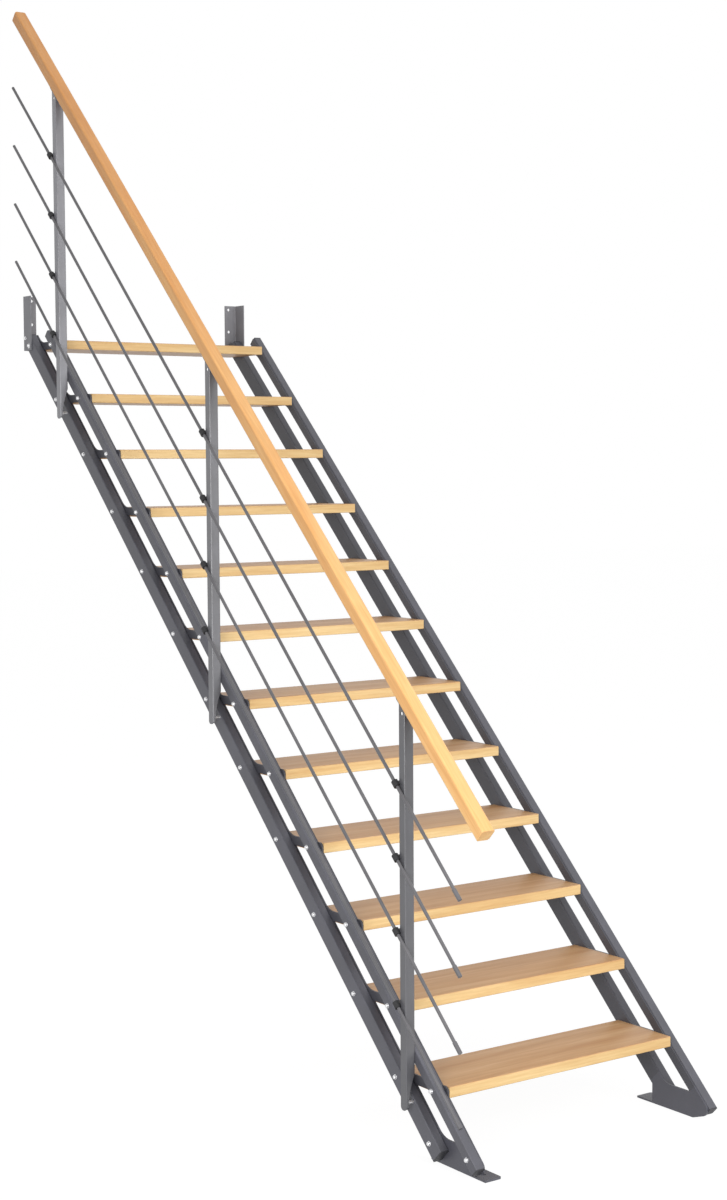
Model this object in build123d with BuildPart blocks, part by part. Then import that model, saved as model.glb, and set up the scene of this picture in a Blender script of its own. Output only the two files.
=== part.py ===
"""Straight open staircase: twin-rail steel stringers, beech treads, one railing.

Millimetres. +X is to the climber's right, +Y is the climbing direction and
+Z is up. The origin lies on the floor, under the middle of the left foot's
flange. Lengths along the pitch are called s and lengths square to it n; both
are counted from the line through the treads' upper front edges, which is
called the nosing line.
"""
import os
from math import hypot

from build123d import *

# Flight
tread_count = 12
rise = 200.0
going = 206.0
first_rise = 226.0
wall_gap = 19.0

# Treads
tread_width = 850.0
tread_depth = 235.0
tread_thickness = 32.0
tread_edge_radius = 3.0

# Twin-rail stringers: rectangular tubes on the outer side of a slotted plate
rail_depth = 30.0
rail_wall = 2.5
rail_edge_radius = 4.0
rear_rail_height = 52.0
rear_rail_inset = 12.2
rear_rail_start = -125.0
rear_rail_clearance = 5.0
front_rail_height = 32.0
front_rail_offset = 33.5
front_rail_start = -245.0
front_rail_overrun = 70.0
rail_cap_thickness = 3.0
rail_cap_spigot = 12.0

# Slotted stringer plates: a carrier bar at each tread's end joins two long strips
plate_thickness = 6.0
carrier_height = 28.0
carrier_front = 2.0
carrier_nose_radius = 16.0
carrier_fillet = 60.0
carrier_flare = 30.0
plate_edge_inset = 4.0

# Feet: upright plate with a flange on the floor, further back on the right
foot_rear_y = 79.0
foot_web_height = 76.0
foot_web_fillet = 65.0
foot_web_flare = 28.0
foot_heel_y = -97.0
foot_toe_lift = 26.0
foot_toe_radius = 22.0
foot_rear_cover_s = -47.5
foot_flange_width = 58.0
foot_flange_length = 244.0
left_flange_front = -165.0
right_flange_front = -98.0
foot_flange_corner = 6.0
foot_hole_radius = 5.5
foot_hole_spacing = 160.0

# Wall brackets: angles that tie the rear rails to the wall
bracket_thickness = 4.0
bracket_rail_leg = 63.0
bracket_wall_leg = 52.0
bracket_height = 200.0
bracket_below_top_tread = 28.0
bracket_hole_radius = 5.5
bracket_hole_low = 70.0
bracket_hole_high = 157.0
bracket_hole_inset = 35.0
bracket_bend_radius = 3.0

# Posts: folded channels, open to the rear, on the left stringer
post_steps = (("lower", 0), ("middle", 5), ("upper", 10))
post_center_y = 126.0
post_depth = 25.0
post_width = 33.0
post_sheet = 3.0
post_bend_radius = 4.0
post_web_end = 23.0
post_cut_middle = (15.0, -18.0)
post_tab_end = -86.0
post_tab_lip = 9.0
post_tab_radius = 11.0
post_tab_hole_radius = 5.5
post_tab_hole_drop = 26.0
spacer_radius = 6.0
spacer_z = -66.0

# Handrail and its seats
handrail_size = 43.0
handrail_offset = 698.5
handrail_start_y = -228.3
handrail_wall_gap = 36.0
handrail_edge_radius = 7.0
seat_thickness = 3.0
seat_length = 74.0

# Rods and their clamps
rod_radius = 5.0
rod_gap = 1.0
rod_offsets = (506.0, 355.0, 203.0, 52.5)
rod_start_y = -144.0
rod_wall_gap = 23.0
rod_sleeve_radius = 6.5
rod_sleeve_length = 36.0
clamp_radius = 10.0
clamp_sides = 16
clamp_length = 20.0
clamp_bore_clearance = 0.1
clamp_behind_post = 8.0
clamp_tongue = (22.0, 12.0, 16.0)

# Worked-out positions
slope_length = hypot(going, rise)
along = Vector(0.0, going / slope_length, rise / slope_length)
square = Vector(0.0, -rise / slope_length, going / slope_length)
rail_inner_x = tread_width / 2 + plate_thickness
rail_outer_x = rail_inner_x + rail_depth
top_tread_z = (tread_count - 1) * rise
wall_face_y = (tread_count - 1) * going + tread_depth + wall_gap
stair_mid_x = rail_inner_x - foot_flange_width / 2
nosing_y = -(left_flange_front + foot_flange_length / 2)
stair_origin = Vector(stair_mid_x, nosing_y, first_rise)
rear_rail_n = rear_rail_inset - tread_depth * along.Z
front_rail_n = -front_rail_offset
front_rail_front_n = front_rail_n + front_rail_height / 2
front_rail_rear_n = front_rail_n - front_rail_height / 2
rear_rail_front_n = rear_rail_n + rear_rail_height / 2
rear_rail_rear_n = rear_rail_n - rear_rail_height / 2
plate_front_n = front_rail_front_n - plate_edge_inset
plate_rear_n = rear_rail_rear_n + plate_edge_inset
post_outer_x = -rail_outer_x - post_width
handrail_x = post_outer_x + post_width / 2
rod_x = post_outer_x - rod_gap - rod_radius
seat_n = handrail_offset - handrail_size / 2 - seat_thickness

sides = (("left", -1), ("right", 1))


def side_plane(x):
    """Upright plane across the stair: local x climbs away, local y is up."""
    return Plane(origin=stair_origin + Vector(x, 0, 0), x_dir=(0, 1, 0), z_dir=(1, 0, 0))


def pitch_plane(x):
    """Like side_plane, but local x runs along the pitch and local y square to it."""
    return Plane(origin=stair_origin + Vector(x, 0, 0), x_dir=along, z_dir=(1, 0, 0))


def section_plane(x, s, n):
    """Plane square to the pitch at (x, s, n), facing up the stair."""
    centre = stair_origin + Vector(x, 0, 0) + along * s + square * n
    return Plane(origin=centre, x_dir=(1, 0, 0), z_dir=along)


def step_offset(step):
    """Shift from the first tread to the given one, counted from nought."""
    return Vector(0, going, rise) * step


def slope_height(y, n):
    """Height over the first tread of the line at distance n, at a given y."""
    return (n * slope_length + rise * y) / going


def slope_run(z, n):
    """The y at which the line at distance n reaches a given height."""
    return (going * z - n * slope_length) / rise


def run_at(y, n):
    """The length along the pitch at which the line at distance n reaches y."""
    return (y + n * along.Z) / along.Y


def export(part, name):
    """Label a finished part and write it as a STEP file of the same name."""
    part.label = name
    export_step(part, f"parts/{name}.step")


os.makedirs("parts", exist_ok=True)

# Treads
with BuildPart() as tread:
    with BuildSketch(side_plane(-tread_width / 2)) as tread_profile:
        with Locations((tread_depth / 2, -tread_thickness / 2)):
            RectangleRounded(tread_depth, tread_thickness, tread_edge_radius)
    extrude(amount=tread_width)

for step in range(tread_count):
    export(tread.part.moved(Location(step_offset(step))), f"tread_{step + 1:02d}")

# Stringer rails: the tubes of both sides, with rounded long edges
rear_rail_end = run_at(wall_face_y - rear_rail_clearance, rear_rail_rear_n) - rail_cap_thickness
front_rail_end = (tread_count - 1) * slope_length + front_rail_overrun
rail_rows = (
    ("rear_rail", rear_rail_height, rear_rail_n, rear_rail_start, rear_rail_end),
    ("front_rail", front_rail_height, front_rail_n, front_rail_start, front_rail_end),
)
for side_name, side in sides:
    rail_x = side * (rail_inner_x + rail_depth / 2)
    for rail_name, height, rail_n, start, end in rail_rows:
        with BuildPart() as rail:
            with BuildSketch(section_plane(rail_x, start, rail_n)) as rail_profile:
                RectangleRounded(rail_depth, height, rail_edge_radius)
                Rectangle(rail_depth - 2 * rail_wall, height - 2 * rail_wall, mode=Mode.SUBTRACT)
            extrude(amount=end - start)
        export(rail.part, f"{side_name}_{rail_name}")

# End caps of the rails: a cover with a spigot inside the tube
with BuildPart() as rail_caps:
    for side_name, side in sides:
        rail_x = side * (rail_inner_x + rail_depth / 2)
        for rail_name, height, rail_n, start, end in rail_rows:
            for s, outward in ((start, -1), (end, 1)):
                with BuildSketch(section_plane(rail_x, s, rail_n)) as cap_cover:
                    RectangleRounded(rail_depth, height, rail_edge_radius)
                extrude(amount=outward * rail_cap_thickness)
                with BuildSketch(section_plane(rail_x, s, rail_n)) as cap_spigot:
                    Rectangle(rail_depth - 2 * rail_wall, height - 2 * rail_wall)
                extrude(amount=-outward * rail_cap_spigot)
export(rail_caps.part, "rail_end_caps")

# Carrier bar of one tread, with large fillets where its edges run into the
# strips and sharp corners on the acute side of each slot
flare_up_y = slope_run(0, rear_rail_front_n) + carrier_flare
flare_down_y = slope_run(-carrier_height, front_rail_rear_n) - carrier_flare
across_rear_y = (rear_rail_height - plate_edge_inset) * rise / slope_length
across_front_y = (front_rail_height - plate_edge_inset) * rise / slope_length

with BuildPart() as carrier:
    with BuildSketch(side_plane(0)) as carrier_outline:
        with BuildLine() as carrier_edge:
            top_edge = FilletPolyline(
                (carrier_front, slope_height(carrier_front, plate_front_n)),
                (carrier_front, 0),
                (slope_run(0, rear_rail_front_n) - carrier_flare, 0),
                radius=carrier_nose_radius,
            )
            upper_flare = FilletPolyline(
                top_edge @ 1,
                (slope_run(0, rear_rail_front_n), 0),
                (flare_up_y, slope_height(flare_up_y, rear_rail_front_n)),
                radius=carrier_fillet,
            )
            rear_edge = Polyline(
                upper_flare @ 1,
                (flare_up_y + across_rear_y, slope_height(flare_up_y + across_rear_y, plate_rear_n)),
                (slope_run(-carrier_height, plate_rear_n), -carrier_height),
                (slope_run(-carrier_height, front_rail_rear_n) + carrier_flare, -carrier_height),
            )
            lower_flare = FilletPolyline(
                rear_edge @ 1,
                (slope_run(-carrier_height, front_rail_rear_n), -carrier_height),
                (flare_down_y, slope_height(flare_down_y, front_rail_rear_n)),
                radius=carrier_fillet,
            )
            front_edge = Polyline(
                lower_flare @ 1,
                (flare_down_y - across_front_y, slope_height(flare_down_y - across_front_y, plate_front_n)),
                top_edge @ 0,
            )
        make_face()
    extrude(amount=plate_thickness)

# Stringer plates: a strip behind each rail and the carrier bars between them
web_z = foot_web_height - first_rise
slot_corner_y = slope_run(web_z, front_rail_rear_n)
foot_front_cover_s = run_at(slot_corner_y, front_rail_rear_n)
plate_strips = (
    (foot_rear_cover_s, rear_rail_end, plate_rear_n, rear_rail_front_n),
    (foot_front_cover_s, front_rail_end, front_rail_rear_n, plate_front_n),
)

for side_name, side in sides:
    plate_x = min(side * rail_inner_x, side * tread_width / 2)
    with BuildPart() as stringer_plate:
        with BuildSketch(pitch_plane(plate_x)) as strip_outlines:
            for start, end, low_n, high_n in plate_strips:
                with Locations(((start + end) / 2, (low_n + high_n) / 2)):
                    Rectangle(end - start, high_n - low_n)
        extrude(amount=plate_thickness)
        with Locations([Vector(plate_x, 0, 0) + step_offset(step) for step in range(tread_count)]):
            add(carrier.part)
    export(stringer_plate.part, f"{side_name}_stringer_plate")

# Foot plate: it carries the stringer plate's lower ends down to the floor, with
# a rounded toe and a large fillet at the bottom of the lowest slot
floor_z = -first_rise
toe_z = floor_z + foot_toe_lift
rear_cover_front = along * foot_rear_cover_s + square * rear_rail_front_n
rear_cover_back = along * foot_rear_cover_s + square * plate_rear_n
front_cover_front = along * foot_front_cover_s + square * plate_front_n

with BuildPart() as foot_web:
    with BuildSketch(side_plane(0)) as foot_outline:
        with BuildLine() as foot_edge:
            toe = FilletPolyline(
                (foot_rear_y, floor_z),
                (foot_heel_y, floor_z),
                (slope_run(toe_z, plate_front_n), toe_z),
                (front_cover_front.Y, front_cover_front.Z),
                radius=foot_toe_radius,
            )
            slot_bottom = Polyline(
                toe @ 1,
                (slot_corner_y, web_z),
                (slope_run(web_z, rear_rail_front_n) - foot_web_flare, web_z),
            )
            web_flare = FilletPolyline(
                slot_bottom @ 1,
                (slope_run(web_z, rear_rail_front_n), web_z),
                (rear_cover_front.Y, rear_cover_front.Z),
                radius=foot_web_fillet,
            )
            Polyline(
                web_flare @ 1,
                (rear_cover_back.Y, rear_cover_back.Z),
                (foot_rear_y, slope_height(foot_rear_y, plate_rear_n)),
                toe @ 0,
            )
        make_face()
    extrude(amount=plate_thickness)

# Feet: both floor flanges point to the climber's right
for (side_name, side), flange_front in zip(sides, (left_flange_front, right_flange_front)):
    foot_x = min(side * rail_inner_x, side * tread_width / 2)
    flange_x = foot_x + foot_flange_width / 2
    flange_y = flange_front + foot_flange_length / 2
    flange_plane = Plane(origin=stair_origin + Vector(flange_x, flange_y, floor_z))
    with BuildPart() as foot:
        add(foot_web.part.moved(Location(Vector(foot_x, 0, 0))))
        with BuildSketch(flange_plane) as flange_outline:
            Rectangle(foot_flange_width, foot_flange_length)
        extrude(amount=plate_thickness)
        flange_corners = foot.edges().filter_by(Axis.Z).group_by(Axis.X)[-1]
        fillet(flange_corners, radius=foot_flange_corner)
        with BuildSketch(flange_plane) as flange_holes:
            with GridLocations(0, foot_hole_spacing, 1, 2):
                Circle(foot_hole_radius)
        extrude(amount=plate_thickness, mode=Mode.SUBTRACT)
    export(foot.part, f"{side_name}_foot")

# Wall brackets: folded angles on the outer faces of the rear rails
bracket_outer_x = -rail_outer_x - bracket_thickness
bracket_low = Vector(0, 0, top_tread_z - bracket_below_top_tread)
mirror_plane = Plane(origin=stair_origin, z_dir=(1, 0, 0))

with BuildPart() as left_bracket:
    with BuildSketch(Plane(origin=stair_origin + bracket_low)) as bracket_section:
        with BuildLine() as bracket_fold:
            outer_fold = FilletPolyline(
                (bracket_outer_x, wall_face_y - bracket_rail_leg),
                (bracket_outer_x, wall_face_y),
                (bracket_outer_x + bracket_wall_leg, wall_face_y),
                radius=bracket_bend_radius + bracket_thickness,
            )
            inner_fold = FilletPolyline(
                (bracket_outer_x + bracket_wall_leg, wall_face_y - bracket_thickness),
                (bracket_outer_x + bracket_thickness, wall_face_y - bracket_thickness),
                (bracket_outer_x + bracket_thickness, wall_face_y - bracket_rail_leg),
                radius=bracket_bend_radius,
            )
            Line(outer_fold @ 1, inner_fold @ 0)
            Line(inner_fold @ 1, outer_fold @ 0)
        make_face()
    extrude(amount=bracket_height)
    wall_leg_face = Plane(
        origin=stair_origin + Vector(bracket_outer_x + bracket_hole_inset, wall_face_y, top_tread_z),
        x_dir=(0, 0, 1),
        z_dir=(0, -1, 0),
    )
    with BuildSketch(wall_leg_face) as bracket_holes:
        with Locations((bracket_hole_low, 0), (bracket_hole_high, 0)):
            Circle(bracket_hole_radius)
    extrude(amount=bracket_thickness, mode=Mode.SUBTRACT)
export(left_bracket.part, "left_wall_bracket")

with BuildPart() as right_bracket:
    mirror(left_bracket.part, about=mirror_plane)
export(right_bracket.part, "right_wall_bracket")

# Posts: the web faces down the stair and the flanges run back from it. The
# web and inner flange stop over the tread, and the outer one runs on as a tab.
post_front_y = post_center_y - post_depth / 2
post_rear_y = post_center_y + post_depth / 2
post_top_z = slope_height(post_rear_y, seat_n)
post_base = stair_origin + Vector(post_outer_x + post_width / 2, post_center_y, post_tab_end)

with BuildPart() as post:
    with BuildSketch(Plane(origin=post_base)) as channel_section:
        Rectangle(post_width, post_depth)
        front_corners = channel_section.vertices().group_by(Axis.Y)[0]
        fillet(front_corners, radius=post_bend_radius)
        with Locations((0, post_sheet)):
            Rectangle(post_width - 2 * post_sheet, post_depth, mode=Mode.SUBTRACT)
    extrude(amount=post_top_z - post_tab_end)
    with BuildSketch(Plane(origin=stair_origin, x_dir=(1, 0, 0), z_dir=(0, -1, 0))) as web_cut:
        with BuildLine() as web_cut_edge:
            web_curve = ThreePointArc(
                (-rail_outer_x, post_web_end),
                (-rail_outer_x - post_cut_middle[0], post_cut_middle[1]),
                (post_outer_x + post_tab_lip, post_tab_end),
            )
            Polyline(web_curve @ 1, (-rail_outer_x, post_tab_end), web_curve @ 0)
        make_face()
    extrude(amount=-post_rear_y, mode=Mode.SUBTRACT)
    with BuildSketch(side_plane(post_outer_x)) as top_cut:
        with BuildLine() as top_cut_edge:
            Polyline(
                (post_front_y, slope_height(post_front_y, seat_n)),
                (post_rear_y, post_top_z),
                (post_front_y, post_top_z),
                close=True,
            )
        make_face()
    extrude(amount=post_width, mode=Mode.SUBTRACT)
    with BuildSketch(side_plane(post_outer_x)) as tab_corners:
        with Locations((post_center_y, post_tab_end + post_tab_radius / 2)):
            Rectangle(post_depth, post_tab_radius)
        with Locations((post_center_y, post_tab_end + post_depth)):
            RectangleRounded(post_depth, 2 * post_depth, post_tab_radius, mode=Mode.SUBTRACT)
    extrude(amount=post_width, mode=Mode.SUBTRACT)
    with BuildSketch(side_plane(post_outer_x)) as tab_hole:
        with Locations((post_center_y, post_top_z - post_tab_hole_drop)):
            Circle(post_tab_hole_radius)
    extrude(amount=post_sheet, mode=Mode.SUBTRACT)

for post_name, step in post_steps:
    export(post.part.moved(Location(step_offset(step))), f"{post_name}_post")

# Spacers between each post's lower tab and the rear rail
with BuildPart() as spacers:
    for post_name, step in post_steps:
        tab_face = side_plane(post_outer_x + post_sheet)
        with BuildSketch(tab_face) as spacer_section:
            with Locations((post_center_y + step * going, spacer_z + step * rise)):
                Circle(spacer_radius)
        extrude(amount=post_width - post_sheet)
export(spacers.part, "post_spacers")

# Handrail, square with rounded edges
handrail_start = run_at(handrail_start_y, handrail_offset)
handrail_end = run_at(wall_face_y - handrail_wall_gap, handrail_offset)

with BuildPart() as handrail:
    with BuildSketch(section_plane(handrail_x, handrail_start, handrail_offset)) as handrail_section:
        RectangleRounded(handrail_size, handrail_size, handrail_edge_radius)
    extrude(amount=handrail_end - handrail_start)
export(handrail.part, "handrail")

# Handrail seats: plates between the posts' sloping tops and the handrail
for post_name, step in post_steps:
    seat_s = run_at(post_center_y + step * going, seat_n)
    seat_center = stair_origin + Vector(handrail_x, 0, 0) + along * seat_s + square * seat_n
    with BuildPart() as seat:
        with BuildSketch(Plane(origin=seat_center, x_dir=(1, 0, 0), z_dir=square)) as seat_outline:
            Rectangle(post_width, seat_length)
        extrude(amount=seat_thickness)
    export(seat.part, f"{post_name}_handrail_seat")

# Rods along the posts' outer faces, each with a sleeve on its lower end
for number, n in enumerate(rod_offsets, start=1):
    start = run_at(rod_start_y, n)
    end = run_at(wall_face_y - rod_wall_gap, n)
    with BuildPart() as rod:
        with BuildSketch(section_plane(rod_x, start, n)) as rod_section:
            Circle(rod_radius)
        extrude(amount=end - start)
        with BuildSketch(section_plane(rod_x, start, n)) as sleeve_section:
            Circle(rod_sleeve_radius)
        extrude(amount=rod_sleeve_length)
    export(rod.part, f"rod_{number}")

# Rod clamps: a collar on the rod and a tongue behind the post's outer flange
clamp_y = post_rear_y + clamp_behind_post
clamp_s = run_at(clamp_y, 0)
clamp_center_z = slope_height(clamp_y, 0)
tongue_width, tongue_depth, tongue_height = clamp_tongue

with BuildPart() as clamp:
    with BuildSketch(section_plane(rod_x, clamp_s - clamp_length / 2, 0)) as collar_section:
        RegularPolygon(clamp_radius, clamp_sides)
    extrude(amount=clamp_length)
    tongue_center = Vector(rod_x + tongue_width / 2, post_rear_y + tongue_depth / 2, clamp_center_z)
    with Locations(stair_origin + tongue_center):
        Box(tongue_width, tongue_depth, tongue_height)
    post_room_align = (Align.MIN, Align.MAX, Align.CENTER)
    with Locations(stair_origin + Vector(post_outer_x, post_rear_y, clamp_center_z)):
        Box(post_width, post_depth, 4 * clamp_radius, align=post_room_align, mode=Mode.SUBTRACT)
    with BuildSketch(section_plane(rod_x, clamp_s - 2 * clamp_length, 0)) as bore_section:
        Circle(rod_radius + clamp_bore_clearance)
    extrude(amount=4 * clamp_length, mode=Mode.SUBTRACT)

for post_name, step in post_steps:
    with BuildPart() as post_clamps:
        for n in rod_offsets:
            drop = Vector(0, 0, slope_height(clamp_y, n) - clamp_center_z)
            with Locations(step_offset(step) + drop):
                add(clamp.part)
    export(post_clamps.part, f"{post_name}_post_clamps")
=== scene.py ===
import logging
import math
from dataclasses import dataclass, field
from enum import Enum

import bmesh
import bpy
from mathutils import Matrix, Vector


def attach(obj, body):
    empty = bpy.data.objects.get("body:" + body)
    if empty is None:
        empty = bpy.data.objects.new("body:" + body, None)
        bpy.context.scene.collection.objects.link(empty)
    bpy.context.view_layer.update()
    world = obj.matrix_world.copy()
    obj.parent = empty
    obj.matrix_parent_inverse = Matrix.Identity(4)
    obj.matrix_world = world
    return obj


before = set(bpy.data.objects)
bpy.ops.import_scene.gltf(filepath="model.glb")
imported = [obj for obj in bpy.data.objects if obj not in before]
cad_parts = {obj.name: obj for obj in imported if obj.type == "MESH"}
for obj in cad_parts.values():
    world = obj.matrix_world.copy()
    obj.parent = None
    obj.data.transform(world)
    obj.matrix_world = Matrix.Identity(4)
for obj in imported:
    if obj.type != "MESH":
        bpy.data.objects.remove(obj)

log = logging.getLogger("staircase")

Triple = tuple[float, float, float]
Shade = tuple[int, int, int]
Socket = bpy.types.NodeSocket

# Flight, in metres, as in the part's source
TREAD_COUNT = 12
RISE = 0.200
GOING = 0.206
FIRST_RISE = 0.226
STAIR_MID_X = 0.402
NOSING_Y = 0.043
RAIL_OUTER_X = 0.461

# Middle of the first nosing, and the nosing line's height square to the pitch
ORIGIN = Vector((STAIR_MID_X, NOSING_Y, FIRST_RISE))
PITCH = math.atan2(RISE, GOING)
SLOPE_LENGTH = math.hypot(GOING, RISE)
SQUARE = Vector((0.0, -RISE / SLOPE_LENGTH, GOING / SLOPE_LENGTH))
NOSING_LINE = ORIGIN.dot(SQUARE)

FULL_CHANNEL = 255
WHITE = (1.0, 1.0, 1.0)
UNSCALED = (1.0, 1.0, 1.0)
SMOOTH_ANGLE = math.radians(40)

# Places of the mix node's colour sockets, whose names it uses more than once
MIX_FACTOR = 0
MIX_FIRST_COLOUR = 6
MIX_SECOND_COLOUR = 7
MIX_COLOUR_RESULT = 2


def stair_point(x: float, y: float, z: float) -> Vector:
    """Give a point of the row frame from stair coordinates.

    Args:
        x: Distance to the climber's right of the stair's middle, in metres.
        y: Distance behind the first tread's front edge.
        z: Height over the first tread's top.

    Returns:
        The point in the row frame.
    """
    return ORIGIN + Vector((x, y, z))


def linear(value: int) -> float:
    """Turn one display channel into its linear value, by the standard sRGB curve."""
    share = value / FULL_CHANNEL
    return share / 12.92 if share <= 0.04045 else ((share + 0.055) / 1.055) ** 2.4


def srgb(red: int, green: int, blue: int) -> Triple:
    """Turn a display colour of 0 to 255 a channel into linear values."""
    return linear(red), linear(green), linear(blue)


def shaded(shade: Shade, share: float) -> Triple:
    """Give the linear values of a display colour made lighter or darker by a share."""
    return srgb(*(min(FULL_CHANNEL, round(value * share)) for value in shade))


class Side(Enum):
    """The two sides of the flight, as signs of x."""

    LEFT = -1
    RIGHT = 1


class GrainAxis(Enum):
    """The direction that the wood's fibres run in."""

    ACROSS = "across"
    PITCH = "pitch"


@dataclass(frozen=True)
class Pattern:
    """One noise of a finish, and how soon its values reach the end colours.

    Attributes:
        scale: Scale of the noise on its coordinates.
        detail: Number of finer layers.
        reach: Distance from the middle value at which the end colours are full.
        roughness: Strength of each finer layer against the one before it.
        distortion: Amount of warping.
    """

    scale: float
    detail: float
    reach: float
    roughness: float = 0.5
    distortion: float = 0.0


class NodeTree:
    """A small helper that adds, sets and links shader nodes.

    Attributes:
        tree: The node tree of a material or of the world.
    """

    def __init__(self, tree: bpy.types.NodeTree) -> None:
        """Take the tree to add to."""
        self.tree = tree

    def add(self, kind: str, **values: object) -> bpy.types.Node:
        """Add a node and set its properties or its unlinked inputs.

        Args:
            kind: Blender's name of the node type.
            **values: Properties by name, or input values by socket name with
                underscores for spaces.

        Returns:
            The new node.
        """
        node = self.tree.nodes.new(kind)
        for key, value in values.items():
            if hasattr(node, key):
                setattr(node, key, value)
            else:
                node.inputs[key.replace("_", " ")].default_value = value
        return node

    def link(self, source: Socket, target: Socket) -> None:
        """Link an output to an input."""
        self.tree.links.new(source, target)

    def maths(self, operation: str, *values: Socket | float) -> Socket:
        """Combine values by one operation.

        Args:
            operation: Blender's name of the operation.
            *values: Outputs or plain numbers, in the order of the node's inputs.

        Returns:
            The result.
        """
        node = self.add("ShaderNodeMath", operation=operation)
        for entry, value in zip(node.inputs, values):
            if isinstance(value, bpy.types.NodeSocket):
                self.link(value, entry)
            else:
                entry.default_value = value
        return node.outputs["Value"]

    def mix(self, share: Socket, first: Socket, second: Socket) -> Socket:
        """Mix two shaders.

        Args:
            share: Share of the second shader.
            first: The first shader.
            second: The second shader.

        Returns:
            The mixed shader.
        """
        node = self.add("ShaderNodeMixShader")
        for source, entry in zip((share, first, second), node.inputs):
            self.link(source, entry)
        return node.outputs["Shader"]


class SurfaceNodes(NodeTree):
    """The nodes of one material, round its principled shader.

    Attributes:
        material: The material.
        shader: Its principled shader.
    """

    def __init__(self, name: str) -> None:
        """Make the material.

        Args:
            name: Name of the material.
        """
        self.material = bpy.data.materials.new(name)
        self.material.use_nodes = True
        super().__init__(self.material.node_tree)
        self.shader = self.tree.nodes["Principled BSDF"]

    def coordinates(self, scale: Triple = UNSCALED, turn: float = 0.0) -> Socket:
        """Give scaled object coordinates, turned about X first.

        Args:
            scale: Scale of each axis after the turn.
            turn: Angle about X, in radians.

        Returns:
            The vector to read.
        """
        source = self.add("ShaderNodeTexCoord")
        turned = self.add("ShaderNodeMapping", Rotation=(turn, 0.0, 0.0))
        self.link(source.outputs["Object"], turned.inputs["Vector"])
        scaled = self.add("ShaderNodeMapping", Scale=scale)
        self.link(turned.outputs["Vector"], scaled.inputs["Vector"])
        return scaled.outputs["Vector"]

    def coordinate(self, axis: str, turn: float = 0.0) -> Socket:
        """Give one object coordinate in metres, after a turn about X.

        Args:
            axis: X, Y or Z.
            turn: Angle about X, in radians.

        Returns:
            The coordinate.
        """
        place = self.add("ShaderNodeSeparateXYZ")
        self.link(self.coordinates(turn=turn), place.inputs["Vector"])
        return place.outputs[axis]

    def noise(self, pattern: Pattern, scale: Triple = UNSCALED, turn: float = 0.0) -> Socket:
        """Give a noise on object coordinates.

        Args:
            pattern: The noise's settings.
            scale: Scale of each axis after the turn.
            turn: Angle about X, in radians.

        Returns:
            The noise's value.
        """
        node = self.add(
            "ShaderNodeTexNoise",
            Scale=pattern.scale,
            Detail=pattern.detail,
            Roughness=pattern.roughness,
            Distortion=pattern.distortion,
        )
        self.link(self.coordinates(scale, turn), node.inputs["Vector"])
        return node.outputs["Fac"]

    def map_range(
        self,
        source: Socket,
        given: tuple[float, float],
        wanted: tuple[float, float] = (0.0, 1.0),
        clamp: bool = True,
    ) -> Socket:
        """Map one range of a value to another.

        Args:
            source: The value to read.
            given: Its two ends.
            wanted: What the two ends become.
            clamp: Whether values past the ends stop there.

        Returns:
            The mapped value.
        """
        node = self.add(
            "ShaderNodeMapRange",
            clamp=clamp,
            From_Min=given[0],
            From_Max=given[1],
            To_Min=wanted[0],
            To_Max=wanted[1],
        )
        self.link(source, node.inputs["Value"])
        return node.outputs["Result"]

    def ramp(self, source: Socket, colours: tuple[Triple, ...], reach: float = 0.5) -> Socket:
        """Run a value through evenly spaced colours about the middle value, 0.5.

        Args:
            source: The value to read.
            colours: Linear colours, from low values to high ones.
            reach: Distance of the first and the last colour from the middle.

        Returns:
            The colour.
        """
        middle = 0.5
        node = self.add("ShaderNodeValToRGB")
        elements = node.color_ramp.elements
        while len(elements) < len(colours):
            elements.new(middle)
        spacing = 2 * reach / (len(colours) - 1)
        for index, (element, colour) in enumerate(zip(elements, colours)):
            element.position = middle - reach + index * spacing
            element.color = (*colour, 1.0)
        self.link(source, node.inputs["Fac"])
        return node.outputs["Color"]

    def multiply(self, first: Socket, second: Socket, share: float = 1.0) -> Socket:
        """Multiply a colour by another.

        Args:
            first: The colour to change.
            second: The colour to multiply it by.
            share: How much of the change is made.

        Returns:
            The changed colour.
        """
        node = self.add("ShaderNodeMix", data_type="RGBA", blend_type="MULTIPLY")
        node.inputs[MIX_FACTOR].default_value = share
        self.link(first, node.inputs[MIX_FIRST_COLOUR])
        self.link(second, node.inputs[MIX_SECOND_COLOUR])
        return node.outputs[MIX_COLOUR_RESULT]

    def colour(self, source: Socket) -> None:
        """Give the surface its colour."""
        self.link(source, self.shader.inputs["Base Color"])

    def roughen(self, source: Socket, low: float, high: float) -> None:
        """Let the roughness follow a pattern between two values."""
        spread = self.map_range(source, (0.0, 1.0), (low, high))
        self.link(spread, self.shader.inputs["Roughness"])

    def bump(self, height: Socket, distance: float, strength: float) -> None:
        """Give the surface a relief.

        Args:
            height: The pattern to follow.
            distance: Height of the relief, in metres.
            strength: Strength of the relief, from 0 to 1.
        """
        node = self.add("ShaderNodeBump", Strength=strength, Distance=distance)
        self.link(height, node.inputs["Height"])
        self.link(node.outputs["Normal"], self.shader.inputs["Normal"])


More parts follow.
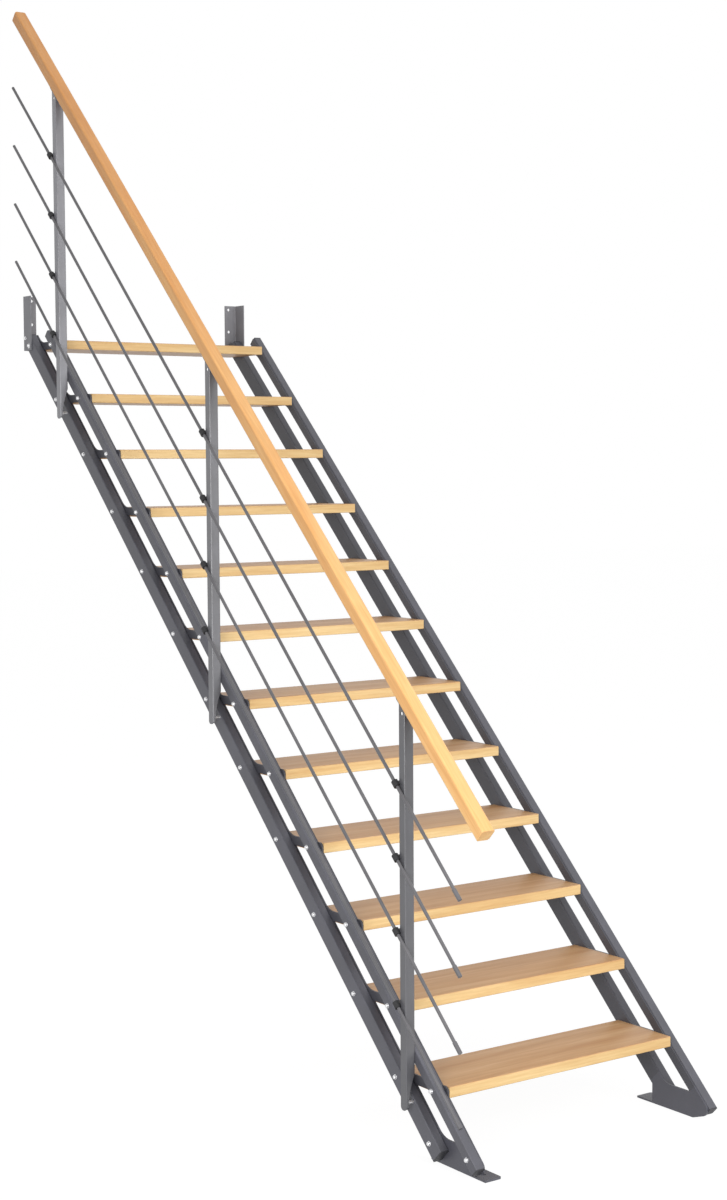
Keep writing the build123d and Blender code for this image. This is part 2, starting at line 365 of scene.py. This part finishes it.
@dataclass(frozen=True)
class LacqueredBeech:
    """Beech under clear satin lacquer: long fibres, fine flecks, a slow drift and painted shade.

    Attributes:
        name: Name of the material.
        grain: Direction of the fibres.
        light: Display colour of the pale wood.
        dark: Display colour of the grain lines.
        painted_shade_tint: Linear tint of the painted shade, on all of a tread but its
        front face, and towards the handrail's upper end.
        along: Scale of fibres and flecks along the grain.
        across: Their scale across the grain.
        fibres: The grain lines.
        flecks: The fine flecks.
        fleck_tint: Linear tint of the flecks.
        fleck_share: Strength of that tint.
        drift: The slow change of tone.
        drift_scale: Scale of the drift on each axis.
        drift_tint: Linear tint of the darker stretches.
        drift_share: Strength of that tint.
        top_fade: Distances from a tread's top, in rises, over which the painted shade
        fades.
        edge_fade: Distances under the nosing line, in metres, over which it
            fades towards the front edge.
        pitch_fade: Distances up the pitch, in metres, over which the handrail takes the
        painted shade.
        pitch_sway: How far the drift shifts that change, in metres.
        roughness: Roughness of the lacquer.
        smoother: Drop of the roughness at the pattern's low values.
        rougher: Rise of the roughness at its high values.
        gloss: Specular level of the wood.
        coat: Weight of the lacquer's clear coat.
        coat_roughness: Roughness of that coat.
        relief: Height of the pores, in metres.
        relief_strength: Strength of the relief.
    """

    name: str
    grain: GrainAxis
    light: Shade = (236, 208, 155)
    dark: Shade = (214, 174, 118)
    # Painted shade: darkens the tread tops and the handrail's upper end, where less light falls
    painted_shade_tint: Triple = (0.83, 0.71, 0.73)
    along: float = 1.4
    across: float = 26.0
    fibres: Pattern = Pattern(scale=1.0, detail=6.0, reach=0.18, roughness=0.62, distortion=0.5)
    flecks: Pattern = Pattern(scale=7.0, detail=3.0, reach=0.08)
    fleck_tint: Triple = (0.86, 0.82, 0.76)
    fleck_share: float = 0.45
    drift: Pattern = Pattern(scale=2.2, detail=2.0, reach=0.15)
    drift_scale: Triple = (0.6, 2.5, 2.5)
    drift_tint: Triple = (0.93, 0.90, 0.86)
    drift_share: float = 0.8
    top_fade: tuple[float, float] = (0.004, 0.014)
    edge_fade: tuple[float, float] = (0.06, 0.025)
    pitch_fade: tuple[float, float] = (1.1, 4.3)
    pitch_sway: float = 1.6
    roughness: float = 0.42
    smoother: float = 0.05
    rougher: float = 0.08
    gloss: float = 0.3
    coat: float = 0.06
    coat_roughness: float = 0.22
    relief: float = 0.0002
    relief_strength: float = 0.35

    def turn(self) -> float:
        """Give the turn about X that lays the fibres along an axis, in radians."""
        return 0.0 if self.grain is GrainAxis.ACROSS else -PITCH

    def stretch(self) -> Triple:
        """Give the pattern's scale on each axis after that turn."""
        if self.grain is GrainAxis.ACROSS:
            return self.along, self.across, self.across
        return self.across, self.along, self.across

    def build(self) -> bpy.types.Material:
        """Make the material.

        Returns:
            The finished material.
        """
        nodes = SurfaceNodes(self.name)
        fibres = nodes.noise(self.fibres, self.stretch(), self.turn())
        flecks = nodes.noise(self.flecks, self.stretch(), self.turn())
        drift = nodes.noise(self.drift, self.drift_scale, self.turn())
        middle = tuple((light + dark) // 2 for light, dark in zip(self.light, self.dark))
        wood = (srgb(*self.dark), srgb(*middle), srgb(*self.light))
        colour = nodes.ramp(fibres, wood, self.fibres.reach)
        flecked = nodes.ramp(flecks, (self.fleck_tint, WHITE), self.flecks.reach)
        colour = nodes.multiply(colour, flecked, self.fleck_share)
        drifting = nodes.ramp(drift, (self.drift_tint, WHITE), self.drift.reach)
        colour = nodes.multiply(colour, drifting, self.drift_share)
        # Painted shade: darker where the lamps light the wood less
        painted_shade = nodes.ramp(self.depth(nodes, drift), (WHITE, self.painted_shade_tint))
        nodes.colour(nodes.multiply(colour, painted_shade))
        nodes.roughen(flecks, self.roughness - self.smoother, self.roughness + self.rougher)
        nodes.shader.inputs["Specular IOR Level"].default_value = self.gloss
        nodes.shader.inputs["Coat Weight"].default_value = self.coat
        nodes.shader.inputs["Coat Roughness"].default_value = self.coat_roughness
        nodes.bump(flecks, self.relief, self.relief_strength)
        return nodes.material

    def depth(self, nodes: SurfaceNodes, drift: Socket) -> Socket:
        """Tell how much painted shade each point gets, from 0 to 1.

        Args:
            nodes: The material's nodes.
            drift: The slow noise, which breaks up the edge of the handrail's painted shade.

        Returns:
            The value.
        """
        # Painted shade on the handrail: darker up the pitch, towards its upper end
        if self.grain is GrainAxis.PITCH:
            up_pitch = nodes.coordinate("Y", -PITCH)
            swayed = nodes.maths("MULTIPLY_ADD", drift, self.pitch_sway, up_pitch)
            return nodes.map_range(swayed, self.pitch_fade)
        # Painted shade on a tread: darker on its top and on all of it but its front face
        half_rise = 0.5
        climbed = (FIRST_RISE, FIRST_RISE + RISE)
        rises = nodes.map_range(nodes.coordinate("Z"), climbed, clamp=False)
        from_top = nodes.maths("PINGPONG", rises, half_rise)
        top = nodes.map_range(from_top, self.top_fade, (1.0, 0.0))
        under = tuple(NOSING_LINE - distance for distance in self.edge_fade)
        behind = nodes.map_range(nodes.coordinate("Z", -PITCH), under, (1.0, 0.0))
        return nodes.maths("MAXIMUM", top, behind)


@dataclass(frozen=True)
class PowderCoat:
    """Satin powder coat on steel: one shade, orange-peel relief, faint dust.

    Attributes:
        name: Name of the material.
        shade: Display colour of the coat.
        roughness: Roughness of the coat.
        gloss: Specular level of the coat: 0.5 is plain paint.
        darker: Share of the shade in the darkest places.
        lighter: Share of the shade in the palest places.
        cloud: The slow change of shade and roughness.
        dust: The fine specks, which the relief follows too.
        dust_tint: Linear tint of the specks.
        dust_share: Strength of that tint.
        smoother: Drop of the roughness at the cloud's low values.
        rougher: Rise of the roughness at its high values.
        peel: Height of the relief, in metres.
        peel_strength: Strength of the relief.
    """

    name: str
    shade: Shade
    roughness: float = 0.42
    gloss: float = 0.5
    darker: float = 0.93
    lighter: float = 1.06
    cloud: Pattern = Pattern(scale=7.0, detail=4.0, reach=0.2, roughness=0.6)
    dust: Pattern = Pattern(scale=900.0, detail=2.0, reach=0.15)
    dust_tint: Triple = (0.9, 0.9, 0.9)
    dust_share: float = 0.6
    smoother: float = 0.06
    rougher: float = 0.08
    peel: float = 0.00003
    peel_strength: float = 0.2

    def build(self) -> bpy.types.Material:
        """Make the material.

        Returns:
            The finished material.
        """
        nodes = SurfaceNodes(self.name)
        dust, cloud = nodes.noise(self.dust), nodes.noise(self.cloud)
        shades = (shaded(self.shade, self.darker), shaded(self.shade, self.lighter))
        coat = nodes.ramp(cloud, shades, self.cloud.reach)
        specks = nodes.ramp(dust, (self.dust_tint, WHITE), self.dust.reach)
        nodes.colour(nodes.multiply(coat, specks, self.dust_share))
        nodes.roughen(cloud, self.roughness - self.smoother, self.roughness + self.rougher)
        nodes.shader.inputs["Specular IOR Level"].default_value = self.gloss
        nodes.bump(dust, self.peel, self.peel_strength)
        return nodes.material


@dataclass(frozen=True)
class BareMetal:
    """Zinc-plated steel with fine scratches.

    Attributes:
        name: Name of the material.
        shade: Display colour of the metal.
        worn: Share of that shade in the scratches.
        scratches: The scratches' pattern.
        scratch_scale: Scale of the scratches on each axis.
        roughness: Mean roughness.
        smoother: Drop of the roughness at the pattern's low values.
        rougher: Rise of the roughness at its high values.
        relief: Height of the scratches, in metres.
        relief_strength: Strength of the relief.
    """

    name: str
    shade: Shade = (244, 244, 246)
    worn: float = 0.88
    scratches: Pattern = Pattern(scale=60.0, detail=4.0, reach=0.15)
    scratch_scale: Triple = (1.0, 14.0, 1.0)
    roughness: float = 0.34
    smoother: float = 0.08
    rougher: float = 0.12
    relief: float = 0.0001
    relief_strength: float = 0.25

    def build(self) -> bpy.types.Material:
        """Make the material.

        Returns:
            The finished material.
        """
        nodes = SurfaceNodes(self.name)
        scratches = nodes.noise(self.scratches, self.scratch_scale)
        shades = (shaded(self.shade, self.worn), srgb(*self.shade))
        nodes.colour(nodes.ramp(scratches, shades, self.scratches.reach))
        nodes.roughen(scratches, self.roughness - self.smoother, self.roughness + self.rougher)
        nodes.shader.inputs["Metallic"].default_value = 1.0
        nodes.bump(scratches, self.relief, self.relief_strength)
        return nodes.material


@dataclass(frozen=True)
class MouldedPlastic:
    """Dark moulded plastic with a fine eroded texture.

    Attributes:
        name: Name of the material.
        shade: Display colour of the plastic.
        darker: Share of the shade in the darkest places.
        lighter: Share of the shade in the palest places.
        cloud: The slow change of shade and roughness.
        grit_scale: Scale of the eroded texture's cells.
        roughness: Mean roughness.
        smoother: Drop of the roughness at the cloud's low values.
        rougher: Rise of the roughness at its high values.
        relief: Height of the texture, in metres.
        relief_strength: Strength of the relief.
    """

    name: str
    shade: Shade
    darker: float = 0.85
    lighter: float = 1.15
    cloud: Pattern = Pattern(scale=30.0, detail=3.0, reach=0.2)
    grit_scale: float = 1400.0
    roughness: float = 0.55
    smoother: float = 0.07
    rougher: float = 0.1
    relief: float = 0.0001
    relief_strength: float = 0.3

    def build(self) -> bpy.types.Material:
        """Make the material.

        Returns:
            The finished material.
        """
        nodes = SurfaceNodes(self.name)
        grit = nodes.add("ShaderNodeTexVoronoi", Scale=self.grit_scale)
        nodes.link(nodes.coordinates(), grit.inputs["Vector"])
        cloud = nodes.noise(self.cloud)
        shades = (shaded(self.shade, self.darker), shaded(self.shade, self.lighter))
        nodes.colour(nodes.ramp(cloud, shades, self.cloud.reach))
        nodes.roughen(cloud, self.roughness - self.smoother, self.roughness + self.rougher)
        nodes.bump(grit.outputs["Distance"], self.relief, self.relief_strength)
        return nodes.material


def finish_piece(
    name: str, mesh: bmesh.types.BMesh, material: bpy.types.Material,
) -> bpy.types.Object:
    """Turn a bmesh into a smooth piece that rides on the stair.

    Args:
        name: Name of the piece.
        mesh: The mesh in the row frame. It is freed.
        material: Its finish.

    Returns:
        The new object.
    """
    bmesh.ops.recalc_face_normals(mesh, faces=mesh.faces)
    data = bpy.data.meshes.new(name)
    mesh.to_mesh(data)
    mesh.free()
    data.materials.append(material)
    data.shade_smooth()
    data.set_sharp_from_angle(angle=SMOOTH_ANGLE)
    piece = bpy.data.objects.new(name, data)
    bpy.context.scene.collection.objects.link(piece)
    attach(piece, "root")
    log.info("%s: %d faces", name, len(data.polygons))
    return piece


@dataclass(frozen=True)
class BoltHead:
    """A round domed head on a washer, placed many times.

    Attributes:
        radius: Radius of the head, in metres.
        height: Height of the head.
        sides: Sides of the head's outline.
        washer_radius: Radius of the washer.
        washer_height: Thickness of the washer.
        washer_sides: Sides of the washer's outline.
        bevel: Width of the outer edges' rounding.
        bevel_limit: The most that the rounding may be, as a share of the height.
        bevel_steps: Steps of the rounding.
        tolerance: How far a point of the outer edge may be off its plane.
    """

    radius: float = 0.0062
    height: float = 0.0045
    sides: int = 24
    washer_radius: float = 0.0075
    washer_height: float = 0.0012
    washer_sides: int = 20
    bevel: float = 0.0022
    bevel_limit: float = 0.6
    bevel_steps: int = 3
    tolerance: float = 0.000001

    def add_to(self, mesh: bmesh.types.BMesh, place: Vector, outward: Vector) -> None:
        """Add a head with its washer at a point.

        Args:
            mesh: The mesh to add to.
            place: Middle of the washer's seat.
            outward: Direction from the seat to the head's top, of length 1.
        """
        turn = Vector((0.0, 0.0, 1.0)).rotation_difference(outward).to_matrix().to_4x4()
        seat = Matrix.Translation(place) @ turn
        layers = (
            (self.washer_radius, self.washer_height, 0.0, self.washer_sides),
            (self.radius, self.height, self.washer_height, self.sides),
        )
        for radius, height, base, sides in layers:
            made = bmesh.ops.create_cone(
                mesh,
                cap_ends=True,
                segments=sides,
                radius1=radius,
                radius2=radius,
                depth=height,
                matrix=seat @ Matrix.Translation(Vector((0.0, 0.0, base + height / 2))),
            )
            top = base + height - self.tolerance
            edges = dict.fromkeys(edge for vert in made["verts"] for edge in vert.link_edges)
            rim = [
                edge for edge in edges
                if all((vert.co - place).dot(outward) > top for vert in edge.verts)
            ]
            bmesh.ops.bevel(
                mesh,
                geom=rim,
                offset=min(self.bevel, height * self.bevel_limit),
                segments=self.bevel_steps,
                profile=0.5,
                affect="EDGES",
                material=-1,
            )


@dataclass
class Fasteners:
    """The bolts that hold treads, feet and wall brackets to the rails.

    Attributes:
        head: The bolt head used on the rails.
        front_y: Distance of the front bolt behind each tread's front edge.
        rear_y: Distance of the rear bolt.
        drop: Depth of both under the tread's top.
        foot_places: Y and z of the foot bolts from the first tread.
        bracket_places: Y and z of the wall bracket bolts from the top tread.
        bracket_thickness: Thickness of the bracket under those heads.
    """

    head: BoltHead = field(default_factory=BoltHead)
    front_y: float = 0.040
    rear_y: float = 0.2095
    drop: float = 0.015
    foot_places: tuple[tuple[float, float], ...] = ((0.0505, -0.168), (-0.120, -0.168))
    bracket_places: tuple[tuple[float, float], ...] = ((0.2080, -0.0105), (0.2375, 0.0180))
    bracket_thickness: float = 0.004

    def rail_bolts(self, side: Side, material: bpy.types.Material) -> bpy.types.Object:
        """Build all the bolt heads on one stringer's outer face.

        Args:
            side: The side of the flight.
            material: Finish of the bolts.

        Returns:
            One piece with all the heads.
        """
        mesh = bmesh.new()
        outward = Vector((side.value, 0.0, 0.0))
        face_x = side.value * RAIL_OUTER_X
        for step in range(TREAD_COUNT):
            for y in (self.front_y, self.rear_y):
                place = stair_point(face_x, step * GOING + y, step * RISE - self.drop)
                self.head.add_to(mesh, place, outward)
        for y, z in self.foot_places:
            self.head.add_to(mesh, stair_point(face_x, y, z), outward)
        top = TREAD_COUNT - 1
        seat_x = face_x + side.value * self.bracket_thickness
        for y, z in self.bracket_places:
            place = stair_point(seat_x, top * GOING + y, top * RISE + z)
            self.head.add_to(mesh, place, outward)
        return finish_piece(f"{side.name.lower()}_stringer_bolts", mesh, material)


@dataclass(frozen=True)
class Finishes:
    """Every finish of the stair. Each post's grey is painted light and shade."""

    tread: LacqueredBeech = LacqueredBeech("tread_beech", GrainAxis.ACROSS)
    handrail: LacqueredBeech = LacqueredBeech(
        "handrail_beech",
        GrainAxis.PITCH,
        light=(252, 210, 148),
        dark=(236, 181, 116),
        # Painted shade: darker towards the handrail's upper end
        painted_shade_tint=(0.81, 0.66, 0.56),
    )
    rails: PowderCoat = PowderCoat("rail_coat", (87, 87, 94))
    plates: PowderCoat = PowderCoat("plate_coat", (70, 70, 76))
    feet: PowderCoat = PowderCoat("foot_coat", (82, 82, 90))
    brackets: PowderCoat = PowderCoat("bracket_coat", (126, 126, 131))
    # Painted light and shade: one post coat in three greys, the lower post darker and the upper lighter
    lower_post: PowderCoat = PowderCoat("lower_post_painted_shade_coat", (82, 82, 86), roughness=0.34, gloss=0.9)
    middle_post: PowderCoat = PowderCoat("middle_post_painted_shading_coat", (106, 106, 110), roughness=0.34, gloss=0.9)
    upper_post: PowderCoat = PowderCoat("upper_post_painted_light_coat", (132, 132, 138), roughness=0.34, gloss=0.9)
    seats: PowderCoat = PowderCoat("seat_coat", (80, 80, 85))
    rods: PowderCoat = PowderCoat("rod_coat", (98, 97, 100), roughness=0.35)
    caps: MouldedPlastic = MouldedPlastic("cap_plastic", (52, 52, 57))
    clamps: MouldedPlastic = MouldedPlastic("clamp_plastic", (30, 30, 32))
    zinc: BareMetal = BareMetal("zinc_plate")

    def dress(self, nodes: dict[str, bpy.types.Object]) -> bpy.types.Material:
        """Give every CAD node its material.

        Args:
            nodes: The frame's nodes by name.

        Returns:
            The zinc material, which the bolts share.
        """
        zinc = self.zinc.build()
        # The first word that is in a node's name decides
        by_word = (
            ("tread", self.tread.build()),
            ("rod_", self.rods.build()),
            ("stringer_plate", self.plates.build()),
            ("handrail_seat", self.seats.build()),
            ("post_clamps", self.clamps.build()),
            ("post_spacers", zinc),
            ("wall_bracket", self.brackets.build()),
            ("rail_end_caps", self.caps.build()),
            ("handrail", self.handrail.build()),
            ("_rail", self.rails.build()),
            ("_foot", self.feet.build()),
            ("lower_post", self.lower_post.build()),
            ("middle_post", self.middle_post.build()),
            ("upper_post", self.upper_post.build()),
        )
        for name, node in nodes.items():
            finish = next(material for word, material in by_word if word in name)
            for index in range(len(node.data.materials)):
                node.data.materials[index] = finish
            log.info("%s: %s", name, finish.name)
        return zinc


@dataclass(frozen=True)
class SoftLamp:
    """One square area lamp.

    Attributes:
        name: Name of the lamp.
        place: Its position in the row frame, in metres.
        target: The point that it faces.
        size: Side of the lamp, in metres.
        power: Power in watts.
    """

    name: str
    place: Triple
    target: Triple
    size: float
    power: float

    def build(self) -> bpy.types.Object:
        """Add the lamp to the scene.

        Returns:
            The lamp.
        """
        data = bpy.data.lights.new(self.name, "AREA")
        data.shape = "SQUARE"
        data.size = self.size
        data.energy = self.power
        lamp = bpy.data.objects.new(self.name, data)
        bpy.context.scene.collection.objects.link(lamp)
        lamp.location = self.place
        aim = Vector(self.target) - Vector(self.place)
        lamp.rotation_mode = "QUATERNION"
        lamp.rotation_quaternion = aim.to_track_quat("-Z", "Y")
        return lamp


@dataclass(frozen=True)
class Studio:
    """Pale floor, soft lamps and the camera at the photograph's angle.

    Attributes:
        eye: Camera position in the row frame, in metres.
        yaw: Camera heading from +Y towards +X, in degrees.
        pitch: Camera elevation, in degrees.
        roll: Camera roll, in degrees.
        lens: Focal length, in millimetres.
        sensor: Long side of the picture, in millimetres.
        shift: Horizontal and vertical lens shift.
        sight: How far the camera sees, in metres.
        fill: Strength of the world's light on the object.
        floor_size: Side of the square floor, in metres.
        floor_shade: Paleness of the floor's paper.
        floor_glow: Strength at which the floor shows its white.
        floor_glow_share: Share of that white against the paper's own shading.
        lamps: The soft lamps.
    """

    eye: Triple = (-3.47435, -4.40716, 1.97598)
    yaw: float = 35.459
    pitch: float = -3.942
    roll: float = -0.3625
    lens: float = 61.328
    sensor: float = 36.0
    shift: tuple[float, float] = (-0.00121, 0.00277)
    sight: float = 100.0
    fill: float = 0.62
    floor_size: float = 60.0
    floor_shade: float = 0.25
    floor_glow: float = 1.84
    floor_glow_share: float = 0.5
    lamps: tuple[SoftLamp, ...] = (
        SoftLamp("front_lamp", place=(0.6, -6.0, 2.8), target=(0.4, 1.2, 1.6), size=4.0, power=296.0),
        SoftLamp("left_lamp", place=(-3.4, -2.2, 1.6), target=(0.0, 0.6, 1.6), size=2.2, power=128.0),
    )

    def camera(self) -> bpy.types.Object:
        """Make the camera and make it the scene's.

        Returns:
            The camera.
        """
        data = bpy.data.cameras.new("camera")
        data.lens = self.lens
        data.sensor_width = self.sensor
        data.shift_x, data.shift_y = self.shift
        data.clip_end = self.sight
        view = bpy.data.objects.new("camera", data)
        bpy.context.scene.collection.objects.link(view)
        yaw, pitch, roll = (math.radians(angle) for angle in (self.yaw, self.pitch, self.roll))
        ahead, aside = math.cos(yaw), math.sin(yaw)
        forward = Vector((aside * math.cos(pitch), ahead * math.cos(pitch), math.sin(pitch)))
        level = Vector((ahead, -aside, 0.0))
        upright = level.cross(forward)
        right = level * math.cos(roll) + upright * math.sin(roll)
        up = upright * math.cos(roll) - level * math.sin(roll)
        turn = Matrix((right, up, -forward)).transposed().to_4x4()
        view.matrix_world = Matrix.Translation(Vector(self.eye)) @ turn
        bpy.context.scene.camera = view
        return view

    def background_rays(self, nodes: NodeTree) -> Socket:
        """Tell the rays that show the background from those that light the object.

        Args:
            nodes: The nodes to add to.

        Returns:
            A value of 1 for camera, glossy and transmission rays.
        """
        rays = nodes.add("ShaderNodeLightPath")
        shown = rays.outputs["Is Camera Ray"]
        for kind in ("Is Glossy Ray", "Is Transmission Ray"):
            shown = nodes.maths("MAXIMUM", shown, rays.outputs[kind])
        return shown

    def floor_paper(self) -> bpy.types.Material:
        """Make the floor's paper, which shows white but keeps a shadow.

        Returns:
            The material.
        """
        material = bpy.data.materials.new("floor_paper")
        material.use_nodes = True
        nodes = NodeTree(material.node_tree)
        nodes.tree.nodes.clear()
        output = nodes.add("ShaderNodeOutputMaterial")
        grey = (self.floor_shade, self.floor_shade, self.floor_shade, 1.0)
        paper = nodes.add("ShaderNodeBsdfDiffuse", Color=grey)
        glow = nodes.add("ShaderNodeEmission", Color=(*WHITE, 1.0), Strength=self.floor_glow)
        share = nodes.maths("MULTIPLY", self.background_rays(nodes), self.floor_glow_share)
        mixed = nodes.mix(share, paper.outputs["BSDF"], glow.outputs["Emission"])
        nodes.link(mixed, output.inputs["Surface"])
        return material

    def floor(self) -> bpy.types.Object:
        """Make the pale floor.

        Returns:
            The floor.
        """
        mesh = bmesh.new()
        bmesh.ops.create_grid(mesh, x_segments=1, y_segments=1, size=self.floor_size / 2)
        data = bpy.data.meshes.new("floor")
        mesh.to_mesh(data)
        mesh.free()
        data.materials.append(self.floor_paper())
        floor = bpy.data.objects.new("floor", data)
        bpy.context.scene.collection.objects.link(floor)
        return floor

    def world(self) -> None:
        """Make a white background with a weaker, even light for the object."""
        world = bpy.data.worlds.new("studio")
        bpy.context.scene.world = world
        world.use_nodes = True
        nodes = NodeTree(world.node_tree)
        nodes.tree.nodes.clear()
        output = nodes.add("ShaderNodeOutputWorld")
        white = nodes.add("ShaderNodeBackground", Color=(*WHITE, 1.0), Strength=1.0)
        fill = nodes.add("ShaderNodeBackground", Color=(*WHITE, 1.0), Strength=self.fill)
        rays = self.background_rays(nodes)
        mixed = nodes.mix(rays, fill.outputs["Background"], white.outputs["Background"])
        nodes.link(mixed, output.inputs["Surface"])

    def build(self) -> None:
        """Build the whole studio round the stair."""
        bpy.context.scene.view_settings.view_transform = "Standard"
        self.world()
        self.floor()
        for lamp in self.lamps:
            lamp.build()
        self.camera()


def main() -> None:
    """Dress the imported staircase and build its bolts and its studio."""
    logging.basicConfig(level=logging.INFO)
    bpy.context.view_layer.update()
    zinc = Finishes().dress(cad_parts)
    fasteners = Fasteners()
    for side in Side:
        fasteners.rail_bolts(side, zinc)
    Studio().build()


if __name__ == "__main__":
    main()
